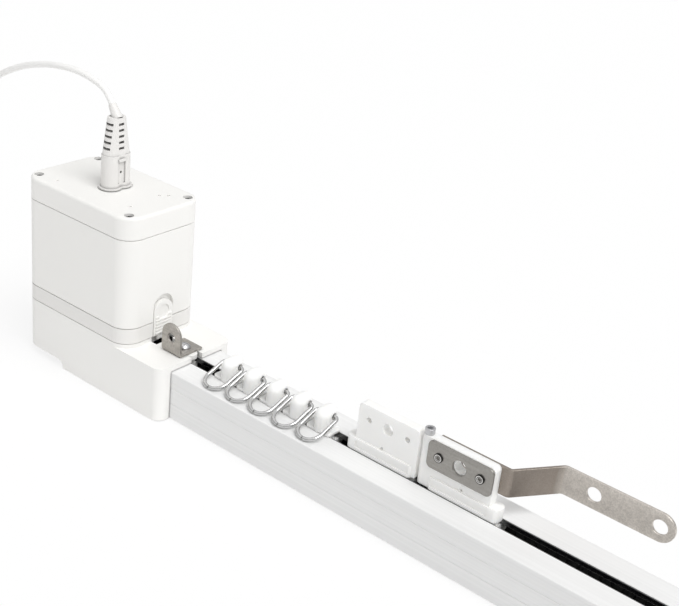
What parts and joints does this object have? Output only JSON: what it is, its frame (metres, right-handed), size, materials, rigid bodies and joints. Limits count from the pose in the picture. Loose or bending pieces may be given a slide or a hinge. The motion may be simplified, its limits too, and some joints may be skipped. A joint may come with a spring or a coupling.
{
  "type": "electric curtain track",
  "caption": "Motor-driven curtain rail with a toothed belt, wheeled ring runners, paired carriers with a joggled overlap arm, an idler end and a corded drive unit.",
  "frame": {"origin": "on the rail's ceiling face, on its middle line, where the rail leaves the drive housing", "axes": "+X along the rail away from the motor, +Y to the side that the overlap arm is joggled to, +Z out of the ceiling face towards the slot"},
  "size_m": [0.9354, 0.0863, 0.1463],
  "materials": {
    "rail_aluminium": "white powder-coated satin extrusion",
    "black_nylon": "matt black nylon",
    "white_plastic": "white moulded plastic, fine satin texture",
    "natural_nylon": "off-white moulded nylon",
    "red_nylon": "red moulded nylon",
    "belt_rubber": "black toothed belt",
    "brushed_stainless": "brushed stainless sheet",
    "bright_steel": "bright plated steel",
    "ring_chrome": "polished wire",
    "dark_metal": "dark zinc casting",
    "board_green": "glass-fibre board",
    "cord_white": "white flexible vinyl"
  },
  "bodies": {
    "track": {"rail": "rail_aluminium", "glide_strip_front": "black_nylon", "glide_strip_rear": "black_nylon", "drive_housing": "white_plastic", "drive_cover": "white_plastic", "drive_axle": "bright_steel", "drive_belt": "belt_rubber", "motor_base_cap": "white_plastic", "motor_case": "white_plastic", "motor_top_cap": "white_plastic", "planetary_gearbox": "dark_metal", "dc_motor": "bright_steel", "control_board": "board_green", "power_inlet": "black_nylon", "case_screws": "bright_steel", "end_stop": "natural_nylon", "end_hook": "brushed_stainless", "end_hook_screw": "bright_steel", "idler_housing": "white_plastic", "idler_cover": "white_plastic", "idler_axle": "bright_steel", "power_connector": "cord_white", "power_cord": "cord_white", "cord_coil": "cord_white", "cord_tie": "cord_white", "plug_lead": "cord_white", "mains_plug": "cord_white"},
    "latch": {"release_latch": "white_plastic"},
    "drive_rotor": {"drive_pulley": "natural_nylon", "output_hub": "red_nylon"},
    "idler_rotor": {"idler_pulley": "natural_nylon"},
    "leading_carriage": {"leading_carrier": "natural_nylon", "leading_clamp": "natural_nylon", "carrier_plate": "brushed_stainless", "overlap_arm": "brushed_stainless", "plate_rivets": "bright_steel", "clamp_screw": "bright_steel"},
    "leading_axle_a": {"leading_wheels_a": "natural_nylon"},
    "leading_axle_b": {"leading_wheels_b": "natural_nylon"},
    "trailing_carriage": {"trailing_carrier": "natural_nylon", "trailing_clamp": "natural_nylon"},
    "trailing_axle_a": {"trailing_wheels_a": "natural_nylon"},
    "trailing_axle_b": {"trailing_wheels_b": "natural_nylon"},
    "glider_1": {"runner_1": "natural_nylon"},
    "glider_1_axle": {"runner_1_wheels": "natural_nylon"},
    "glider_1_loop": {"runner_1_ring": "ring_chrome"},
    "glider_2": {"runner_2": "natural_nylon"},
    "glider_2_axle": {"runner_2_wheels": "natural_nylon"},
    "glider_2_loop": {"runner_2_ring": "ring_chrome"},
    "glider_3": {"runner_3": "natural_nylon"},
    "glider_3_axle": {"runner_3_wheels": "natural_nylon"},
    "glider_3_loop": {"runner_3_ring": "ring_chrome"},
    "glider_4": {"runner_4": "natural_nylon"},
    "glider_4_axle": {"runner_4_wheels": "natural_nylon"},
    "glider_4_loop": {"runner_4_ring": "ring_chrome"},
    "glider_5": {"runner_5": "natural_nylon"},
    "glider_5_axle": {"runner_5_wheels": "natural_nylon"},
    "glider_5_loop": {"runner_5_ring": "ring_chrome"}
  },
  "joints": [
    {"name": "carrier_slide", "type": "slide", "parent": "track", "child": "leading_carriage", "axis": [1, 0, 0], "range_m": [0, 0.45]},
    {"name": "leading_roll_a", "type": "hinge", "parent": "leading_carriage", "child": "leading_axle_a", "pos_m": [0.1441, 0, 0.01765], "axis": [0, -1, 0], "range_deg": [0, 5607]},
    {"name": "leading_roll_b", "type": "hinge", "parent": "leading_carriage", "child": "leading_axle_b", "pos_m": [0.1671, 0, 0.01765], "axis": [0, -1, 0], "range_deg": [0, 5607]},
    {"name": "trailing_slide", "type": "slide", "parent": "track", "child": "trailing_carriage", "axis": [1, 0, 0], "range_m": [0, 0.45]},
    {"name": "trailing_roll_a", "type": "hinge", "parent": "trailing_carriage", "child": "trailing_axle_a", "pos_m": [0.1009, 0, 0.01765], "axis": [0, -1, 0], "range_deg": [0, 5607]},
    {"name": "trailing_roll_b", "type": "hinge", "parent": "trailing_carriage", "child": "trailing_axle_b", "pos_m": [0.1239, 0, 0.01765], "axis": [0, -1, 0], "range_deg": [0, 5607]},
    {"name": "glider_1_slide", "type": "slide", "parent": "track", "child": "glider_1", "axis": [1, 0, 0], "range_m": [0, 0.075]},
    {"name": "glider_1_roll", "type": "hinge", "parent": "glider_1", "child": "glider_1_axle", "pos_m": [0.0223, 0, 0.01765], "axis": [0, -1, 0], "range_deg": [0, 936]},
    {"name": "ring_1_hinge", "type": "hinge", "parent": "glider_1", "child": "glider_1_loop", "pos_m": [0.0223, 0.0022, 0.032], "axis": [-1, 0, 0], "range_deg": [0, 215]},
    {"name": "glider_2_slide", "type": "slide", "parent": "track", "child": "glider_2", "axis": [1, 0, 0], "range_m": [0, 0.15]},
    {"name": "glider_2_roll", "type": "hinge", "parent": "glider_2", "child": "glider_2_axle", "pos_m": [0.0366, 0, 0.01765], "axis": [0, -1, 0], "range_deg": [0, 1870]},
    {"name": "ring_2_hinge", "type": "hinge", "parent": "glider_2", "child": "glider_2_loop", "pos_m": [0.0366, 0.0022, 0.032], "axis": [-1, 0, 0], "range_deg": [0, 215]},
    {"name": "glider_3_slide", "type": "slide", "parent": "track", "child": "glider_3", "axis": [1, 0, 0], "range_m": [0, 0.225]},
    {"name": "glider_3_roll", "type": "hinge", "parent": "glider_3", "child": "glider_3_axle", "pos_m": [0.0509, 0, 0.01765], "axis": [0, -1, 0], "range_deg": [0, 2804]},
    {"name": "ring_3_hinge", "type": "hinge", "parent": "glider_3", "child": "glider_3_loop", "pos_m": [0.0509, 0.0022, 0.032], "axis": [-1, 0, 0], "range_deg": [0, 215]},
    {"name": "glider_4_slide", "type": "slide", "parent": "track", "child": "glider_4", "axis": [1, 0, 0], "range_m": [0, 0.3]},
    {"name": "glider_4_roll", "type": "hinge", "parent": "glider_4", "child": "glider_4_axle", "pos_m": [0.0652, 0, 0.01765], "axis": [0, -1, 0], "range_deg": [0, 3738]},
    {"name": "ring_4_hinge", "type": "hinge", "parent": "glider_4", "child": "glider_4_loop", "pos_m": [0.0652, 0.0022, 0.032], "axis": [-1, 0, 0], "range_deg": [0, 215]},
    {"name": "glider_5_slide", "type": "slide", "parent": "track", "child": "glider_5", "axis": [1, 0, 0], "range_m": [0, 0.375]},
    {"name": "glider_5_roll", "type": "hinge", "parent": "glider_5", "child": "glider_5_axle", "pos_m": [0.0795, 0, 0.01765], "axis": [0, -1, 0], "range_deg": [0, 4672]},
    {"name": "ring_5_hinge", "type": "hinge", "parent": "glider_5", "child": "glider_5_loop", "pos_m": [0.0795, 0.0022, 0.032], "axis": [-1, 0, 0], "range_deg": [0, 215]},
    {"name": "drive_turn", "type": "hinge", "parent": "track", "child": "drive_rotor", "pos_m": [-0.0785, 0, 0.015], "axis": [0, 0, 1], "range_deg": [0, 1985]},
    {"name": "idler_turn", "type": "hinge", "parent": "track", "child": "idler_rotor", "pos_m": [0.6805, 0, 0.015], "axis": [0, 0, 1], "range_deg": [0, 1985]},
    {"name": "latch_slide", "type": "slide", "parent": "track", "child": "latch", "axis": [0, 0, 1], "range_m": [0, 0.0025], "stiffness_N_per_m": 400, "springref_m": -0.001}
  ],
  "couplings": [
    {"joint": "leading_roll_a", "follows": "carrier_slide", "rad_per_m": 217.39},
    {"joint": "leading_roll_b", "follows": "carrier_slide", "rad_per_m": 217.39},
    {"joint": "trailing_slide", "follows": "carrier_slide", "ratio": 1},
    {"joint": "trailing_roll_a", "follows": "carrier_slide", "rad_per_m": 217.39},
    {"joint": "trailing_roll_b", "follows": "carrier_slide", "rad_per_m": 217.39},
    {"joint": "glider_1_slide", "follows": "carrier_slide", "ratio": 0.16667},
    {"joint": "glider_1_roll", "follows": "carrier_slide", "rad_per_m": 36.232},
    {"joint": "glider_2_slide", "follows": "carrier_slide", "ratio": 0.33333},
    {"joint": "glider_2_roll", "follows": "carrier_slide", "rad_per_m": 72.464},
    {"joint": "glider_3_slide", "follows": "carrier_slide", "ratio": 0.5},
    {"joint": "glider_3_roll", "follows": "carrier_slide", "rad_per_m": 108.7},
    {"joint": "glider_4_slide", "follows": "carrier_slide", "ratio": 0.66667},
    {"joint": "glider_4_roll", "follows": "carrier_slide", "rad_per_m": 144.93},
    {"joint": "glider_5_slide", "follows": "carrier_slide", "ratio": 0.83333},
    {"joint": "glider_5_roll", "follows": "carrier_slide", "rad_per_m": 181.16},
    {"joint": "drive_turn", "follows": "carrier_slide", "rad_per_m": 76.923},
    {"joint": "idler_turn", "follows": "carrier_slide", "rad_per_m": 76.923}
  ]
}
